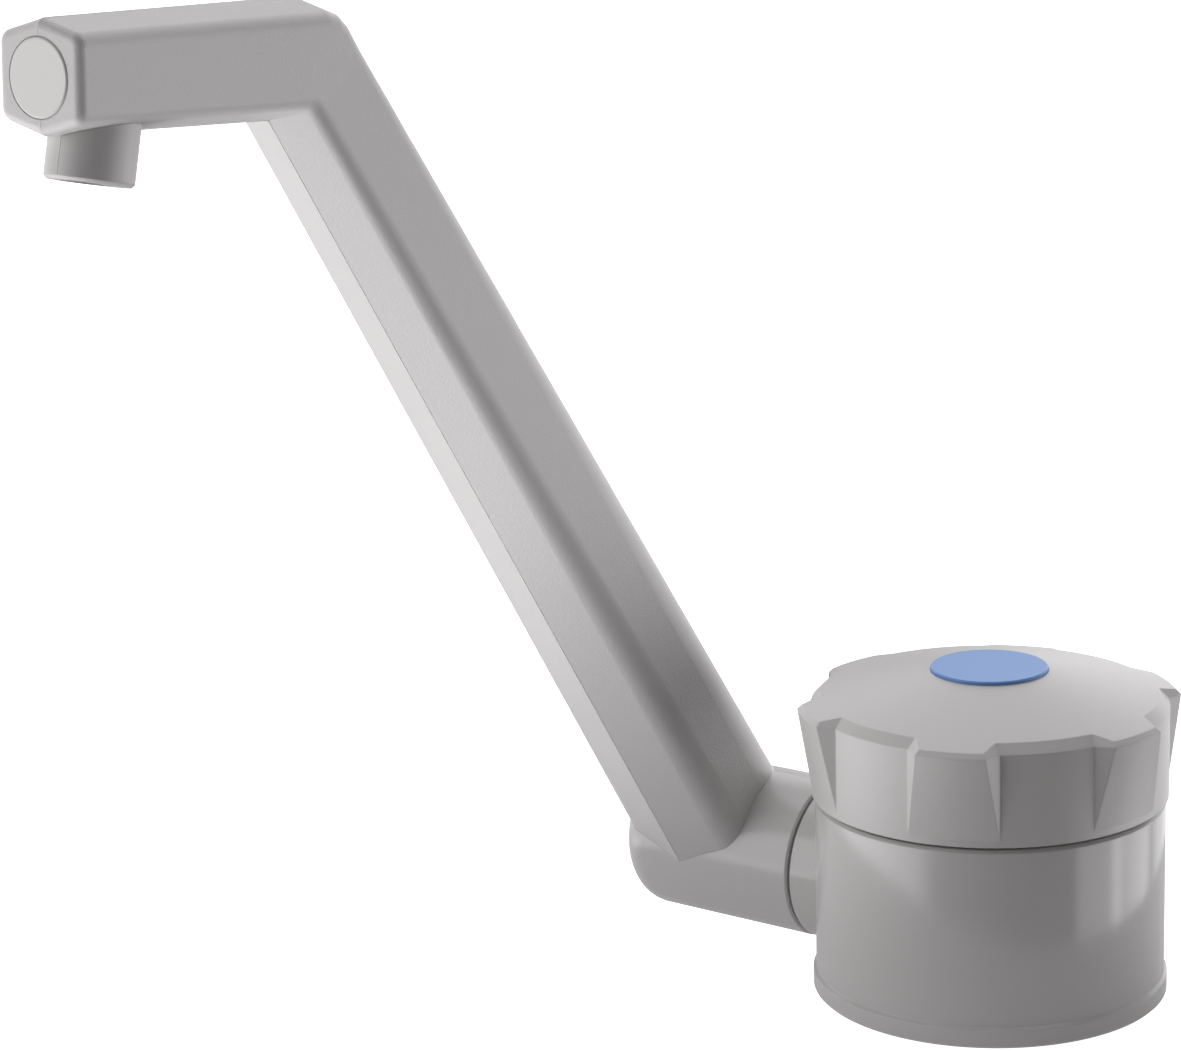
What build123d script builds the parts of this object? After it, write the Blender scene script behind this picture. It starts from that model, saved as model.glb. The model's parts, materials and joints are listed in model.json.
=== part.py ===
from build123d import *
import math
import os

# Cold-water tap with a turning knob and a hinged arm that folds down.
# Origin: centre of the base's underside. +Z up, the socket and its pivot axis
# point along -X, and the arm leans out along -Y.

# Running and assembly clearances
running_fit = 0.05
seat_gap = 0.1
loose_fit = 0.15
body_gap = 0.3

# Base housing
base_dia = 50.0
base_height = 28.7
base_wall = 2.4
deck_thickness = 2.6
foot_bead_height = 3.1
foot_bead_proud = 0.42
foot_bead_edge = 0.4
foot_rebate_depth = 2.4
foot_rim = 1.3
housing_edge = 0.4
boss_dia = 6.8
boss_height = 10.0
boss_inset = 3.2
boss_count = 3
pilot_hole_gap = 0.9

# Side socket and pivot axis
pivot_height = 13.9
socket_dia = 23.4
socket_stub = 1.8
thrust_washer_dia = 18.0
thrust_washer_thickness = 1.3
thrust_recess_depth = 0.8

# Foot seal, base plate and its screws
seal_thickness = 1.0
plate_screw_dia = 2.8
plate_screw_head_dia = 5.2
plate_screw_head_height = 1.2
plate_screw_length = 8.0

# Valve body
body_foot_dia = 30.0
body_foot_height = 6.0
body_dia = 27.0
inlet_bore_dia = 9.0
seat_bore_dia = 6.0
seat_web = 1.1
seat_height = 10.5
seat_lip_height = 0.8
seat_lip_width = 1.0
chamber_dia = 13.6
bonnet_bore_dia = 15.0
bonnet_bore_depth = 8.6
branch_boss_dia = 17.0
branch_stub = 2.1
stud_hole_dia = 4.2
stud_hole_depth = 9.0
stud_spacing = 21.0

# Pivot tube, its seals and the slot for the retaining screw
journal_dia = 14.0
tube_bore_dia = 9.0
tube_thread_dia = 11.0
tube_thread_length = 5.5
journal_length = 12.1
slot_setback = 2.8
slot_depth = 1.1
pivot_ring_setbacks = (6.5, 9.8)
pivot_ring_section = 1.1
ring_groove_side = 0.2

# Bonnet, spindle and its seals
bonnet_hex = 20.0
bonnet_hex_height = 3.5
bonnet_neck_dia = 12.0
bonnet_neck_height = 7.3
bonnet_foot_gap = 1.0
bonnet_ring_setback = 1.9
bonnet_ring_section = 0.95
spindle_dia = 6.1
spindle_collar_dia = 8.8
spindle_collar_height = 1.6
spindle_thread_dia = 5.0
spindle_flats = 4.8
spindle_ring_setbacks = (0.2, 3.3)
spindle_ring_section = 0.8
clip_dia = 9.6
clip_thickness = 0.6
clip_groove_depth = 0.6
clip_mouth = 3.9

# Jumper: the hexagonal valve carrier
jumper_hex = 9.0
jumper_disc_dia = 10.0
jumper_disc_height = 1.5
jumper_guide_length = 6.5
jumper_head_room = 1.0
jumper_web = 0.5
jumper_lift = 2.5
washer_dia = 9.2
washer_thickness = 2.2
jumper_screw_dia = 2.1
jumper_screw_head_dia = 4.0
jumper_screw_head_height = 0.8
jumper_screw_depth = 2.0

# Knob
knob_gap = 0.6
knob_dia = 50.8
lobe_count = 6
lobe_proud = 2.05
lobe_start = 1.0
lobe_top_height = 13.2
lobe_half_angle_foot = 14.6
lobe_half_angle_top = 10.2
lobe_depth = 5.4
knob_rest_angle = -10.7
dome_top_height = 18.0
dome_edge_height = 13.35
dome_bulge = 0.2
rim_chamfer = 1.4
rim_slope = 45.0
knob_wall = 2.2
knob_crown = 3.0
hub_dia = 13.0
hub_gap = 0.45
rib_thickness = 1.6
rib_setback = 1.6
knob_web = 1.4

# Disc and screw in the knob's top
cold_disc_dia = 16.6
cold_disc_thickness = 1.8
cold_disc_edge = 0.15
disc_recess_depth = 1.3
screw_pocket_gap = 0.4
knob_screw_dia = 3.9
knob_screw_length = 8.0
knob_screw_head_dia = 7.2
knob_screw_head_height = 2.1
knob_screw_socket = 3.0
knob_screw_socket_depth = 1.2

# Elbow barrel, arm and spout
barrel_dia = 23.5
barrel_end_round = 4.6
barrel_edge = 0.3
arm_setback = 19.1
arm_elevation = 54.6
arm_length = 156.2
arm_root_half_width = 10.8
arm_root_depth_below = 10.2
arm_root_lower_corner = 4.6
arm_root_upper_corner = 8.3
arm_root_step = 0.4
barrel_shoulder = 0.9
bend_half_width = 7.1
bend_half_depth = 7.45
bend_corner = 1.9
bend_outer_round = 5.8
bend_steps = 7
crown_angle = 15.0
spout_elevation = 3.0
spout_length = 42.2
spout_half_width = 6.6
spout_half_depth = 6.75
spout_corner = 1.7
spout_end_round = 1.1

# Waterway in the arm
chamber_bore_dia = 13.2
arm_bore_root_dia = 13.0
arm_bore_top_dia = 10.0
plug_margin = 0.75
plug_groove = 0.06
plug_length = 3.4
plug_proud = 0.15
plug_edge = 0.2

# Nozzle and its insert
nozzle_dia = 10.7
nozzle_back = 10.0
nozzle_drop = 12.9
nozzle_tilt = 10.8
nozzle_bore_dia = 7.2
nozzle_shank_dia = 8.6
nozzle_shank_inset = 0.55
nozzle_bevel = 0.4
insert_length = 4.0
insert_recess = 1.2
insert_wall = 0.5
insert_blades = 3

# Retaining screw in the elbow
retaining_screw_dia = 4.0
retaining_tip_dia = 1.8
retaining_head_recess = 0.4
fold_angle = 45.0

# Derived places
base_radius = base_dia / 2
inner_radius = base_radius - base_wall
rebate_radius = base_radius - foot_rim
deck_underside = base_height - deck_thickness
boss_place = Pos(inner_radius - boss_inset, 0, 0)
plate_foot = seal_thickness
plate_top = foot_rebate_depth

socket_radius = socket_dia / 2
socket_reach = base_radius + socket_stub
swivel_gap = thrust_washer_thickness + seat_gap - thrust_recess_depth
barrel_face = socket_reach + swivel_gap
branch_reach = body_dia / 2 + branch_stub
journal_reach = barrel_face + journal_length
journal_bore_radius = journal_dia / 2 + running_fit
slot_offset = barrel_face + slot_setback
pivot_ring_offsets = [barrel_face + setback for setback in pivot_ring_setbacks]
arm_offset = barrel_face + arm_setback
barrel_end = arm_offset + arm_root_half_width + barrel_shoulder
arm_root_depth_above = barrel_dia / 2 - arm_root_step
pivot_point = Vector(-arm_offset, 0, pivot_height)
plug_bore_radius = spout_half_width - spout_end_round - plug_margin
nozzle_shank_top = plug_bore_radius - nozzle_shank_inset

chamber_floor = seat_height - seat_lip_height
bonnet_floor = deck_underside - bonnet_bore_depth
bonnet_foot = bonnet_floor + bonnet_foot_gap
bonnet_neck_top = base_height + bonnet_neck_height
bonnet_ring_height = bonnet_foot + bonnet_ring_setback
clip_floor = bonnet_neck_top + running_fit
spindle_collar_base = bonnet_foot + jumper_guide_length
spindle_ring_heights = [base_height + setback for setback in spindle_ring_setbacks]
washer_foot = seat_height + seat_gap
jumper_foot = washer_foot + washer_thickness
jumper_bore_floor = jumper_foot + jumper_screw_depth + seat_gap + jumper_web
jumper_top = spindle_collar_base - jumper_lift - jumper_head_room
spindle_foot = jumper_bore_floor + jumper_lift + body_gap

knob_foot = base_height + knob_gap
knob_radius = knob_dia / 2
lobe_top_radius = knob_radius + lobe_proud
dome_top = knob_foot + dome_top_height
lobe_top = knob_foot + lobe_top_height
knob_ceiling = dome_top - knob_crown
hub_foot = clip_floor + clip_thickness + hub_gap
rib_foot = hub_foot + rib_setback
disc_floor = dome_top - disc_recess_depth
screw_seat = disc_floor - screw_pocket_gap - knob_screw_head_height
spindle_top = screw_seat - knob_web - seat_gap


def turned(points):
    """Solid of revolution about the Z axis from (radius, height) points."""
    face = make_face(Polyline(*[(r, 0, z) for r, z in points], close=True))
    return revolve(face, Axis.Z)


def turned_about_pivot(points):
    """Solid of revolution about the pivot axis from (reach, radius) points."""
    face = make_face(Polyline(*[(-x, 0, pivot_height + r) for x, r in points], close=True))
    return revolve(face, Axis((0, 0, pivot_height), (1, 0, 0)))


def rod(radius, low, high):
    """Upright cylinder on the Z axis between two heights."""
    return Pos(0, 0, (low + high) / 2) * Cylinder(radius, high - low)


def pivot_rod(radius, near, far):
    """Cylinder on the pivot axis between two reaches from the base's centre."""
    return Pos(-(near + far) / 2, 0, pivot_height) * Rot(0, 90, 0) * Cylinder(radius, far - near)


def hex_rod(across_flats, low, high):
    """Upright hexagonal bar on the Z axis."""
    profile = RegularPolygon(across_flats / 2, 6, major_radius=False)
    return Pos(0, 0, low) * extrude(profile, high - low)


def ring_section(radius, section, place):
    """Eight-sided section of an O-ring whose outside is at the given radius."""
    reach = section / 2 / math.cos(math.pi / 8)
    angles = [math.pi / 8 + math.pi / 4 * i for i in range(8)]
    centre = radius - section / 2
    return [(centre + reach * math.cos(a), place + reach * math.sin(a)) for a in angles]


def ring_seal(radius, section, height):
    """O-ring round the Z axis."""
    return turned(ring_section(radius, section, height))


def ring_groove(radius, section, height):
    """Groove for an O-ring in an upright shaft of the given radius."""
    half = section / 2 + ring_groove_side
    outer = rod(radius + 1, height - half, height + half)
    return outer - rod(radius - section, height - half - 1, height + half + 1)


def around(shape, count, start=0.0):
    """Copies of a shape at even angles about the Z axis."""
    return [Rot(0, 0, start + 360 / count * i) * shape for i in range(count)]


def base_housing():
    foot = foot_rebate_depth
    bead_radius = base_radius + foot_bead_proud
    hole_radius = bonnet_bore_dia / 2 + loose_fit
    shell = turned(
        [
            (rebate_radius, 0),
            (bead_radius - foot_bead_edge, 0),
            (bead_radius, foot_bead_edge),
            (bead_radius, foot_bead_height - foot_bead_edge),
            (base_radius, foot_bead_height),
            (base_radius, base_height - housing_edge),
            (base_radius - housing_edge, base_height),
            (hole_radius, base_height),
            (hole_radius, deck_underside),
            (inner_radius, deck_underside),
            (inner_radius, foot),
            (rebate_radius, foot),
        ]
    )

    socket = pivot_rod(socket_radius, inner_radius - base_wall, socket_reach)
    socket -= rod(inner_radius, 0, base_height)
    shell += socket

    boss = boss_place * rod(boss_dia / 2, foot, foot + boss_height)
    boss &= rod(inner_radius + base_wall / 2, 0, base_height)
    pilot_top = plate_foot + plate_screw_length + pilot_hole_gap
    boss -= boss_place * rod(plate_screw_dia / 2, foot, pilot_top)
    for part in around(boss, boss_count):
        shell += part

    shell -= rod(rebate_radius, 0, foot)
    shell -= pivot_rod(journal_dia / 2 + loose_fit, branch_reach, barrel_face)
    recess_radius = thrust_washer_dia / 2 + loose_fit
    shell -= pivot_rod(recess_radius, socket_reach - thrust_recess_depth, barrel_face)
    return shell


def foot_seal():
    outer = rebate_radius - body_gap
    inner = body_foot_dia / 2 + body_gap
    return rod(outer, 0, seal_thickness) - rod(inner, 0, seal_thickness)


def screw_cone(radius_gain):
    """Countersunk head of a base plate screw, grown by a clearance for its hole."""
    return turned(
        [
            (0, plate_foot),
            (plate_screw_head_dia / 2 + radius_gain, plate_foot),
            (plate_screw_dia / 2 + radius_gain, plate_foot + plate_screw_head_height),
            (0, plate_foot + plate_screw_head_height),
        ]
    )


def base_plate():
    plate = rod(rebate_radius - loose_fit, plate_foot, plate_top)
    plate -= rod(body_foot_dia / 2 + loose_fit, plate_foot, plate_top)
    hole = screw_cone(running_fit) + rod(plate_screw_dia / 2 + running_fit, plate_foot, plate_top)
    for part in around(boss_place * hole, boss_count):
        plate -= part
    return plate


def plate_screws():
    shank = rod(plate_screw_dia / 2 - running_fit, plate_foot, plate_foot + plate_screw_length)
    return Compound(children=around(boss_place * (screw_cone(0) + shank), boss_count))


def valve_body():
    body = rod(body_foot_dia / 2, 0, body_foot_height)
    body += rod(body_dia / 2, 0, deck_underside)
    body += pivot_rod(branch_boss_dia / 2, 0, branch_reach)
    body -= rod(inlet_bore_dia / 2, 0, chamber_floor - seat_web)
    body -= rod(seat_bore_dia / 2, 0, seat_height)
    chamber = rod(chamber_dia / 2, chamber_floor, bonnet_foot)
    chamber -= rod(seat_bore_dia / 2 + seat_lip_width, chamber_floor, seat_height)
    body -= chamber
    body -= rod(bonnet_bore_dia / 2, bonnet_floor, deck_underside)
    body -= pivot_rod(tube_bore_dia / 2, seat_bore_dia / 2 + seat_lip_width, branch_reach)
    body -= pivot_rod(tube_thread_dia / 2, branch_reach - tube_thread_length, branch_reach)
    for side in (-1, 1):
        body -= Pos(0, side * stud_spacing / 2, 0) * rod(stud_hole_dia / 2, 0, stud_hole_depth)
    return body


def slot_half_angle():
    """Half the angle that the screw's tip and its side clearance take up in the slot."""
    reach = journal_dia / 2 - slot_depth / 2
    return math.degrees((retaining_tip_dia / 2 + body_gap) / reach)


def pivot_tube():
    tube = pivot_rod(journal_dia / 2, branch_reach, journal_reach)
    tube += pivot_rod(tube_thread_dia / 2, branch_reach - tube_thread_length + seat_gap, branch_reach)
    tube -= pivot_rod(tube_bore_dia / 2, 0, journal_reach)
    for offset in pivot_ring_offsets:
        half = pivot_ring_section / 2 + ring_groove_side
        groove = pivot_rod(journal_dia, offset - half, offset + half)
        groove -= pivot_rod(journal_dia / 2 - pivot_ring_section, 0, journal_reach)
        tube -= groove
    tube -= arc_slot()
    return tube


def arc_slot():
    """Part of a ring groove that the retaining screw's tip runs in, its ends stop the fold."""
    half_width = retaining_tip_dia / 2 + body_gap
    low = journal_dia / 2 - slot_depth
    high = journal_dia
    profile = Polyline(
        (-slot_offset - half_width, low, pivot_height),
        (-slot_offset + half_width, low, pivot_height),
        (-slot_offset + half_width, high, pivot_height),
        (-slot_offset - half_width, high, pivot_height),
        close=True,
    )
    axis = Axis((0, 0, pivot_height), (1, 0, 0))
    margin = slot_half_angle()
    start = make_face(profile).rotate(axis, -margin)
    return revolve(start, axis, fold_angle + 2 * margin)


def pivot_o_rings():
    rings = []
    for offset in pivot_ring_offsets:
        section = ring_section(journal_dia / 2, pivot_ring_section, offset)
        rings.append(turned_about_pivot([(x, r) for r, x in section]))
    return Compound(children=rings)


def thrust_washer():
    near = socket_reach - thrust_recess_depth
    far = near + thrust_washer_thickness
    ring = pivot_rod(thrust_washer_dia / 2, near, far)
    return ring - pivot_rod(journal_dia / 2 + loose_fit, near, far)


def bonnet():
    shank = bonnet_bore_dia / 2 - running_fit
    part = rod(shank, bonnet_foot, base_height)
    part += hex_rod(bonnet_hex, base_height, base_height + bonnet_hex_height)
    part += rod(bonnet_neck_dia / 2, base_height, bonnet_neck_top)
    part -= rod(spindle_dia / 2 + running_fit, bonnet_foot, bonnet_neck_top)
    collar_top = spindle_collar_base + spindle_collar_height + seat_gap
    part -= rod(spindle_collar_dia / 2 + loose_fit, bonnet_foot, collar_top)
    part -= hex_rod(jumper_hex + 2 * seat_gap, bonnet_foot, spindle_collar_base)
    part -= ring_groove(shank, bonnet_ring_section, bonnet_ring_height)
    return part


def bonnet_o_ring():
    return ring_seal(bonnet_bore_dia / 2 - running_fit, bonnet_ring_section, bonnet_ring_height)


def flats(across, low, high):
    """Bar with two flats, for the driven end of the spindle."""
    return Pos(0, 0, (low + high) / 2) * Box(spindle_dia * 2, across, high - low)


def spindle():
    radius = spindle_dia / 2
    part = rod(spindle_thread_dia / 2, spindle_foot, spindle_collar_base)
    part += rod(spindle_collar_dia / 2, spindle_collar_base, spindle_collar_base + spindle_collar_height)
    drive_foot = clip_floor + clip_thickness + running_fit
    part += rod(radius, spindle_collar_base, drive_foot)
    drive = rod(radius, drive_foot, spindle_top)
    drive &= flats(spindle_flats, drive_foot, spindle_top)
    part += Rot(0, 0, knob_rest_angle) * drive
    groove = rod(spindle_dia, clip_floor, clip_floor + clip_thickness)
    groove -= rod(radius - clip_groove_depth, clip_floor, clip_floor + clip_thickness)
    part -= groove
    for height in spindle_ring_heights:
        part -= ring_groove(radius, spindle_ring_section, height)
    part -= rod(knob_screw_dia / 2 + running_fit, spindle_top - knob_screw_length, spindle_top)
    return part


def spindle_o_rings():
    rings = [ring_seal(spindle_dia / 2, spindle_ring_section, z) for z in spindle_ring_heights]
    return Compound(children=rings)


def spindle_clip():
    top = clip_floor + clip_thickness
    inner = spindle_dia / 2 - clip_groove_depth
    clip = rod(clip_dia / 2, clip_floor, top) - rod(inner, clip_floor, top)
    mouth = Pos(clip_dia / 2, 0, (clip_floor + top) / 2) * Box(clip_dia, clip_mouth, clip_thickness)
    return Rot(0, 0, knob_rest_angle) * (clip - mouth)


def jumper():
    part = rod(jumper_disc_dia / 2, jumper_foot, jumper_foot + jumper_disc_height)
    part += hex_rod(jumper_hex, jumper_foot, jumper_top)
    part -= rod(spindle_thread_dia / 2 + seat_gap, jumper_bore_floor, jumper_top)
    part -= rod(jumper_screw_dia / 2 + running_fit, jumper_foot, jumper_foot + jumper_screw_depth + seat_gap)
    return part


def jumper_washer():
    ring = rod(washer_dia / 2, washer_foot, jumper_foot)
    return ring - rod(jumper_screw_dia / 2 + running_fit, washer_foot, jumper_foot)


def jumper_screw():
    head = rod(jumper_screw_head_dia / 2, washer_foot - jumper_screw_head_height, washer_foot)
    return head + rod(jumper_screw_dia / 2, washer_foot, jumper_foot + jumper_screw_depth)


def lobe_outline():
    """Plan of one lobe: it is widest at the skirt and narrows outwards between straight flanks."""
    foot = math.radians(lobe_half_angle_foot)
    top = math.radians(lobe_half_angle_top)
    foot_x = knob_radius * math.cos(foot)
    foot_y = knob_radius * math.sin(foot)
    top_x = lobe_top_radius * math.cos(top)
    top_y = lobe_top_radius * math.sin(top)
    slope = (foot_y - top_y) / (foot_x - top_x)
    near_x = knob_radius - lobe_depth
    far_x = lobe_top_radius + rim_chamfer
    near_y = top_y + slope * (near_x - top_x)
    far_y = top_y + slope * (far_x - top_x)
    corners = [(near_x, -near_y), (far_x, -far_y), (far_x, far_y), (near_x, near_y)]
    return make_face(Polyline(*corners, close=True))


def rim_cone_top(radius):
    return radius - rim_chamfer * math.tan(math.radians(rim_slope))


def rim_cone(radius):
    """Chamfer above the knob's walls, as a cone that leans inwards from their top edge."""
    high = lobe_top + rim_chamfer
    return turned([(0, lobe_top), (radius, lobe_top), (rim_cone_top(radius), high), (0, high)])


def lobe():
    """One lobe of the knob, flared outwards from the skirt and chamfered above its walls."""
    low = knob_foot + lobe_start
    flare = turned([(0, low), (knob_radius, low), (lobe_top_radius, lobe_top), (0, lobe_top)])
    wall = Pos(0, 0, low) * extrude(lobe_outline(), lobe_top - low)
    crest = Pos(0, 0, lobe_top) * extrude(lobe_outline(), rim_chamfer, taper=rim_slope)
    return (wall & flare) + (crest & rim_cone(lobe_top_radius))


def dome():
    """Everything below the knob's shallow crown."""
    near = cold_disc_dia / 2
    far = lobe_top_radius + rim_chamfer
    edge = knob_foot + dome_edge_height
    middle = ((near + far) / 2, 0, (dome_top + edge) / 2 + dome_bulge)
    outline = [
        Line((0, 0, 0), (far, 0, 0)),
        Line((far, 0, 0), (far, 0, edge)),
        ThreePointArc((far, 0, edge), middle, (near, 0, dome_top)),
        Line((near, 0, dome_top), (0, 0, dome_top)),
        Line((0, 0, dome_top), (0, 0, 0)),
    ]
    return revolve(make_face(outline), Axis.Z)


def knob_outside():
    """Six lobes that flare outwards from a plain round skirt, under a shallow dome."""
    body = rod(knob_radius, knob_foot, lobe_top)
    body += rim_cone(knob_radius)
    body += rod(rim_cone_top(knob_radius), lobe_top, dome_top + rim_chamfer)
    body &= dome()
    for part in around(lobe() & dome(), lobe_count):
        body += part
    return body


def knob():
    part = knob_outside()
    part -= rod(knob_radius - knob_wall, knob_foot, knob_ceiling) & (Pos(0, 0, -knob_crown) * dome())
    part += rod(hub_dia / 2, hub_foot, knob_ceiling)
    reach = knob_radius - knob_wall / 2
    rib = Pos(reach / 2, 0, (rib_foot + knob_ceiling) / 2)
    rib = rib * Box(reach, rib_thickness, knob_ceiling - rib_foot)
    rib &= Pos(0, 0, -knob_crown / 2) * dome()
    for piece in around(rib, lobe_count):
        part += piece
    drive = rod(spindle_dia / 2 + running_fit, hub_foot, spindle_top + seat_gap)
    drive &= flats(spindle_flats + 2 * running_fit, hub_foot, spindle_top + seat_gap)
    part -= drive
    part -= rod(knob_screw_dia / 2 + running_fit, spindle_top, screw_seat)
    part -= rod(knob_screw_head_dia / 2 + screw_pocket_gap, screw_seat, dome_top)
    part -= rod(cold_disc_dia / 2 + running_fit, disc_floor, dome_top)
    return Rot(0, 0, knob_rest_angle) * part


def cold_disc():
    disc = rod(cold_disc_dia / 2, disc_floor, disc_floor + cold_disc_thickness)
    rim = disc.edges().sort_by(Axis.Z)[-1]
    return chamfer(rim, cold_disc_edge)


def knob_screw():
    head = rod(knob_screw_head_dia / 2, screw_seat, screw_seat + knob_screw_head_height)
    socket_floor = screw_seat + knob_screw_head_height - knob_screw_socket_depth
    head -= hex_rod(knob_screw_socket, socket_floor, screw_seat + knob_screw_head_height)
    return head + rod(knob_screw_dia / 2, spindle_top - knob_screw_length + seat_gap, screw_seat)


def along(elevation):
    """Unit direction in the arm's plane at an elevation above the deck."""
    angle = math.radians(elevation)
    return Vector(0, -math.cos(angle), math.sin(angle))


def across(elevation):
    """Unit direction square to along(elevation), towards the upper side."""
    angle = math.radians(elevation)
    return Vector(0, math.sin(angle), math.cos(angle))


def crowned_section(origin, elevation, half_width, below, above, lower_corner, upper_corner):
    """Section of the arm: flat sides, round corners, and a crown to the mould's parting line."""
    slope = math.radians(crown_angle)
    mid = math.pi / 4 + slope / 2

    def corner_arc(side, way, depth, corner):
        flat = half_width - corner
        centre = way * (depth - flat * math.tan(slope) - corner / math.cos(slope))
        start = (side * (flat + corner * math.sin(slope)), centre + way * corner * math.cos(slope))
        middle = (side * (flat + corner * math.sin(mid)), centre + way * corner * math.cos(mid))
        end = (side * half_width, centre)
        return start, middle, end

    right_low = corner_arc(1, -1, below, lower_corner)
    right_high = corner_arc(1, 1, above, upper_corner)
    left_high = corner_arc(-1, 1, above, upper_corner)
    left_low = corner_arc(-1, -1, below, lower_corner)
    outline = [
        Line((0, -below), right_low[0]),
        ThreePointArc(*right_low),
        Line(right_low[2], right_high[2]),
        ThreePointArc(*reversed(right_high)),
        Line(right_high[0], (0, above)),
        Line((0, above), left_high[0]),
        ThreePointArc(*left_high),
        Line(left_high[2], left_low[2]),
        ThreePointArc(*reversed(left_low)),
        Line(left_low[0], (0, -below)),
    ]
    plane = Plane(origin, x_dir=(1, 0, 0), z_dir=along(elevation))
    return plane * make_face(outline)


def bend_point():
    return pivot_point + along(arm_elevation) * arm_length


def inner_corner():
    """Where the undersides of arm and spout meet on the centre plane."""
    half_turn = (arm_elevation - spout_elevation) / 2
    depth = bend_half_depth / math.cos(math.radians(half_turn))
    return bend_point() - across((arm_elevation + spout_elevation) / 2) * depth


def bend_depth(turn):
    """Depth of the bend from its inner corner to the rounded outside, at a turn from the arm."""
    total = math.radians(arm_elevation - spout_elevation)
    angle = math.radians(turn)
    depth = 2 * bend_half_depth
    centre = (depth - bend_outer_round) / math.cos(total / 2)
    tangent = math.atan(centre * math.sin(total / 2) / depth)
    if angle <= tangent:
        return depth / math.cos(angle)
    if angle >= total - tangent:
        return depth / math.cos(total - angle)
    off = angle - total / 2
    return centre * math.cos(off) + math.sqrt(bend_outer_round**2 - (centre * math.sin(off)) ** 2)


def spout_end():
    return bend_point() + along(spout_elevation) * spout_length


def arm_outside():
    """Arm, bend and spout as one form through sections from the pivot to the spout's end."""
    sections = [
        crowned_section(
            pivot_point,
            arm_elevation,
            arm_root_half_width,
            arm_root_depth_below,
            arm_root_depth_above,
            arm_root_lower_corner,
            arm_root_upper_corner,
        )
    ]
    corner = inner_corner()
    for i in range(bend_steps):
        turn = (arm_elevation - spout_elevation) * i / (bend_steps - 1)
        sections.append(
            crowned_section(
                corner,
                arm_elevation - turn,
                bend_half_width,
                0,
                bend_depth(turn),
                bend_corner,
                bend_corner,
            )
        )
    sections.append(
        crowned_section(
            spout_end(),
            spout_elevation,
            spout_half_width,
            spout_half_depth,
            spout_half_depth,
            spout_corner,
            spout_corner,
        )
    )
    form = loft(sections, ruled=True)
    end_face = form.faces().sort_by_distance(spout_end())[0]
    return fillet(end_face.edges(), spout_end_round)


def elbow_barrel():
    """Elbow: a horizontal barrel on the pivot axis, open at the swivel gap, rounded at its far end."""
    radius = barrel_dia / 2
    height = pivot_height
    inset = barrel_end_round * (1 - math.sqrt(0.5))
    outline = [
        Line((-barrel_face, 0, height), (-barrel_face, 0, height + radius - barrel_edge)),
        Line(
            (-barrel_face, 0, height + radius - barrel_edge),
            (-barrel_face - barrel_edge, 0, height + radius),
        ),
        Line(
            (-barrel_face - barrel_edge, 0, height + radius),
            (-barrel_end + barrel_end_round, 0, height + radius),
        ),
        ThreePointArc(
            (-barrel_end + barrel_end_round, 0, height + radius),
            (-barrel_end + inset, 0, height + radius - inset),
            (-barrel_end, 0, height + radius - barrel_end_round),
        ),
        Line((-barrel_end, 0, height + radius - barrel_end_round), (-barrel_end, 0, height)),
        Line((-barrel_end, 0, height), (-barrel_face, 0, height)),
    ]
    return revolve(make_face(outline), Axis((0, 0, height), (1, 0, 0)))


def bore_between(start, end, start_radius, end_radius):
    """Round bore that narrows evenly between two points."""
    way = (end - start).normalized()
    first = Plane(start, x_dir=(1, 0, 0), z_dir=way) * Circle(start_radius)
    last = Plane(end, x_dir=(1, 0, 0), z_dir=way) * Circle(end_radius)
    return loft([first, last])


def nozzle_way():
    """Direction in which the water leaves the nozzle."""
    angle = math.radians(nozzle_tilt)
    return -across(spout_elevation) * math.cos(angle) + along(spout_elevation) * math.sin(angle)


def nozzle_root():
    return spout_end() - along(spout_elevation) * nozzle_back


def nozzle_rod(radius, near, far):
    """Cylinder on the nozzle's axis, between two distances from the spout's axis."""
    way = nozzle_way()
    plane = Plane(nozzle_root() + way * near, x_dir=(1, 0, 0), z_dir=way)
    return extrude(plane * Circle(radius), far - near)


def retaining_hole():
    """Radial hole at the back of the elbow, square to the pivot axis."""
    axis = Plane((-slot_offset, 0, pivot_height), x_dir=(1, 0, 0), z_dir=(0, 1, 0))
    return extrude(axis * Circle(retaining_screw_dia / 2), barrel_dia)


def spout_arm():
    part = elbow_barrel() + arm_outside()
    part -= pivot_rod(journal_bore_radius, 0, journal_reach + body_gap)
    part -= pivot_rod(chamber_bore_dia / 2, 0, arm_offset + chamber_bore_dia / 2)
    top = bend_point() - along(arm_elevation) * (arm_bore_top_dia / 4)
    part -= bore_between(pivot_point, top, arm_bore_root_dia / 2, arm_bore_top_dia / 2)
    back = bend_point() - along(spout_elevation) * (plug_bore_radius / 2)
    mouth = spout_end() + along(spout_elevation)
    part -= bore_between(back, mouth, plug_bore_radius, plug_bore_radius)
    part -= nozzle_rod(nozzle_shank_dia / 2, 0, nozzle_drop)
    part -= retaining_hole()
    return part


def end_plug():
    """Round plug that closes the core hole at the spout's end."""
    way = along(spout_elevation)
    face = spout_end() + way * plug_proud
    back = Plane(face - way * plug_length, x_dir=(1, 0, 0), z_dir=way)
    plug = extrude(back * Circle(plug_bore_radius - plug_groove), plug_length)
    rim = plug.edges().filter_by(GeomType.CIRCLE).sort_by_distance(face)[0]
    return chamfer(rim, plug_edge)


def nozzle():
    part = nozzle_rod(nozzle_dia / 2, nozzle_shank_top, nozzle_drop)
    rim = part.edges().filter_by(GeomType.CIRCLE).sort_by_distance(nozzle_root())[-1]
    part = chamfer(rim, nozzle_bevel)
    part -= arm_outside()
    part += nozzle_rod(nozzle_shank_dia / 2 - running_fit, nozzle_shank_top, nozzle_drop - nozzle_bevel)
    return part - nozzle_rod(nozzle_bore_dia / 2, 0, nozzle_drop + 1)


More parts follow.
